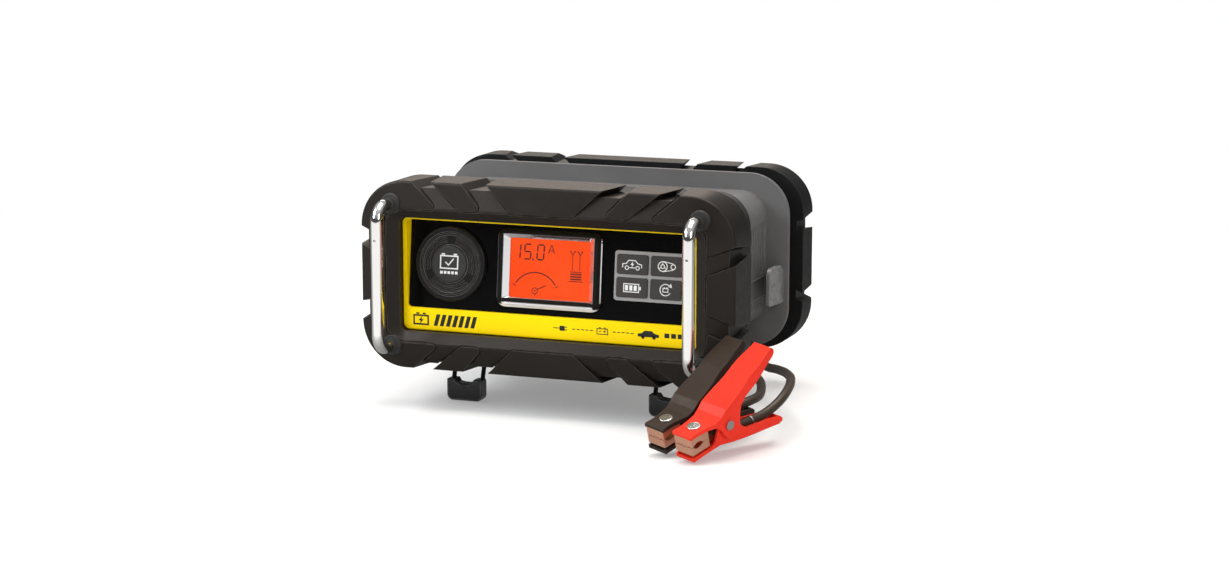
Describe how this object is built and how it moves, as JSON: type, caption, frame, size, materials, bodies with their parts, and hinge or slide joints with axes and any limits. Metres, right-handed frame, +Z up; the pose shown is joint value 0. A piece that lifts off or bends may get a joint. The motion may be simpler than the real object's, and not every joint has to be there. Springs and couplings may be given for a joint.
{
  "type": "car battery charger",
  "caption": "Box-shaped car battery charger with armoured bumpers, display panel, chrome guard handles, fold-down legs and two battery clamps on leads.",
  "frame": {"origin": "on the floor plane under the opened legs, below the middle of the case", "axes": "+Z up, -Y out of the display panel, +X to the right of someone facing the panel"},
  "size_m": [0.2887, 0.2589, 0.149],
  "materials": {
    "bumper_plastic": "black moulded bumper plastic with a fine grain",
    "yellow_plastic": "bright yellow satin plastic",
    "panel_gloss": "piano black gloss panel",
    "chrome_plating": "chrome plated plastic",
    "display_glass": "clear display window",
    "display_light": "orange red backlit display",
    "dial_plastic": "dark satin plastic",
    "button_plastic": "charcoal soft-touch plastic",
    "grey_trim": "mid grey plastic",
    "grey_case": "mid grey moulded case plastic",
    "clip_plastic": "translucent smoke grey plastic",
    "cover_plastic": "dark grey moulded plastic",
    "chrome_rod": "polished chrome plated steel",
    "soft_rubber": "black rubber",
    "zinc_screw": "zinc plated steel",
    "black_screw": "black coated steel",
    "circuit_board": "green circuit board",
    "ferrite": "dark grey ferrite",
    "winding_tape": "amber insulating tape over copper wire",
    "heatsink_aluminium": "bare extruded aluminium",
    "capacitor_sleeve": "dark blue shrink sleeve",
    "fan_plastic": "black fan plastic",
    "bracket_plastic": "black nylon",
    "black_wire": "black coated steel wire",
    "shoe_plastic": "glossy black rubberised plastic",
    "red_grip": "bright red moulded plastic",
    "black_grip": "brown black moulded plastic",
    "copper": "copper plated steel",
    "rivet_steel": "nickel plated steel",
    "spring_steel": "spring steel wire",
    "lead_jacket": "brown black flexible jacket",
    "cord_jacket": "black flexible jacket",
    "blade_brass": "brass blades"
  },
  "bodies": {
    "housing": {"front_bumper": "bumper_plastic", "rear_bumper": "bumper_plastic", "fascia_frame": "yellow_plastic", "control_panel": "panel_gloss", "lcd_bezel": "chrome_plating", "lcd_window": "display_glass", "lcd_module": "display_light", "charge_dial": "dial_plastic", "keypad_frame": "grey_trim", "core_upper_shell": "grey_case", "core_lower_shell": "grey_case", "storage_clips": "clip_plastic", "rear_cover": "cover_plastic", "handle_left": "chrome_rod", "handle_right": "chrome_rod", "handle_grommets": "soft_rubber", "handle_screws": "zinc_screw", "case_screws": "black_screw", "control_pcb": "circuit_board", "main_pcb": "circuit_board", "transformer_core": "ferrite", "transformer_winding": "winding_tape", "heatsink": "heatsink_aluminium", "capacitors": "capacitor_sleeve", "fan_frame": "fan_plastic", "leg_brackets": "bracket_plastic", "red_lower_grip": "red_grip", "red_lower_jaw": "copper", "black_lower_grip": "black_grip", "black_lower_jaw": "copper", "clamp_pivot_pins": "rivet_steel", "clamp_springs": "spring_steel", "red_lead": "lead_jacket", "black_lead": "lead_jacket", "lead_rings": "rivet_steel", "mains_cord": "cord_jacket", "mains_plug": "cord_jacket", "plug_blades": "blade_brass", "cable_glands": "soft_rubber"},
    "charge_button": {"charge_button": "button_plastic"},
    "key_top_left": {"key_top_left": "button_plastic"},
    "key_top_right": {"key_top_right": "button_plastic"},
    "key_bottom_left": {"key_bottom_left": "button_plastic"},
    "key_bottom_right": {"key_bottom_right": "button_plastic"},
    "fan_rotor": {"fan_rotor": "fan_plastic"},
    "leg_front_left": {"leg_bail_front_left": "black_wire", "leg_shoe_front_left": "shoe_plastic"},
    "leg_front_right": {"leg_bail_front_right": "black_wire", "leg_shoe_front_right": "shoe_plastic"},
    "leg_rear_left": {"leg_bail_rear_left": "black_wire", "leg_shoe_rear_left": "shoe_plastic"},
    "leg_rear_right": {"leg_bail_rear_right": "black_wire", "leg_shoe_rear_right": "shoe_plastic"},
    "red_clamp_upper": {"red_upper_grip": "red_grip", "red_upper_jaw": "copper", "red_jaw_rivet": "rivet_steel"},
    "black_clamp_upper": {"black_upper_grip": "black_grip", "black_upper_jaw": "copper", "black_jaw_rivet": "rivet_steel"}
  },
  "joints": [
    {"name": "charge_button_press", "type": "slide", "parent": "housing", "child": "charge_button", "axis": [0, 0.9945, -0.1045], "range_m": [0, 0.0014], "stiffness_N_per_m": 900, "springref_m": -0.0008},
    {"name": "key_top_left_press", "type": "slide", "parent": "housing", "child": "key_top_left", "axis": [0, 0.9945, -0.1045], "range_m": [0, 0.001], "stiffness_N_per_m": 900, "springref_m": -0.0008},
    {"name": "key_top_right_press", "type": "slide", "parent": "housing", "child": "key_top_right", "axis": [0, 0.9945, -0.1045], "range_m": [0, 0.001], "stiffness_N_per_m": 900, "springref_m": -0.0008},
    {"name": "key_bottom_left_press", "type": "slide", "parent": "housing", "child": "key_bottom_left", "axis": [0, 0.9945, -0.1045], "range_m": [0, 0.001], "stiffness_N_per_m": 900, "springref_m": -0.0008},
    {"name": "key_bottom_right_press", "type": "slide", "parent": "housing", "child": "key_bottom_right", "axis": [0, 0.9945, -0.1045], "range_m": [0, 0.001], "stiffness_N_per_m": 900, "springref_m": -0.0008},
    {"name": "fan_spin", "type": "hinge", "parent": "housing", "child": "fan_rotor", "pos_m": [-0.062, 0.0565, 0.088], "axis": [0, 1, 0], "continuous": true},
    {"name": "leg_front_left_fold", "type": "hinge", "parent": "housing", "child": "leg_front_left", "pos_m": [-0.0706, -0.038, 0.037], "axis": [1, 0, 0], "range_deg": [0, 105], "stiffness_Nm_per_rad": 0.05, "springref_deg": -20.05},
    {"name": "leg_front_right_fold", "type": "hinge", "parent": "housing", "child": "leg_front_right", "pos_m": [0.0706, -0.038, 0.037], "axis": [1, 0, 0], "range_deg": [0, 105], "stiffness_Nm_per_rad": 0.05, "springref_deg": -20.05},
    {"name": "leg_rear_left_fold", "type": "hinge", "parent": "housing", "child": "leg_rear_left", "pos_m": [-0.0706, 0.047, 0.037], "axis": [-1, 0, 0], "range_deg": [0, 105], "stiffness_Nm_per_rad": 0.05, "springref_deg": -20.05},
    {"name": "leg_rear_right_fold", "type": "hinge", "parent": "housing", "child": "leg_rear_right", "pos_m": [0.0706, 0.047, 0.037], "axis": [-1, 0, 0], "range_deg": [0, 105], "stiffness_Nm_per_rad": 0.05, "springref_deg": -20.05},
    {"name": "red_clamp_open", "type": "hinge", "parent": "housing", "child": "red_clamp_upper", "pos_m": [0.13383, -0.14076, 0.0225], "axis": [-0.8998, 0.4207, 0.1152], "range_deg": [0, 32], "stiffness_Nm_per_rad": 0.9, "springref_deg": -20.05},
    {"name": "black_clamp_open", "type": "hinge", "parent": "housing", "child": "black_clamp_upper", "pos_m": [0.11263, -0.13036, 0.0234], "axis": [-0.8998, 0.4207, 0.1152], "range_deg": [0, 32], "stiffness_Nm_per_rad": 0.9, "springref_deg": -20.05}
  ]
}
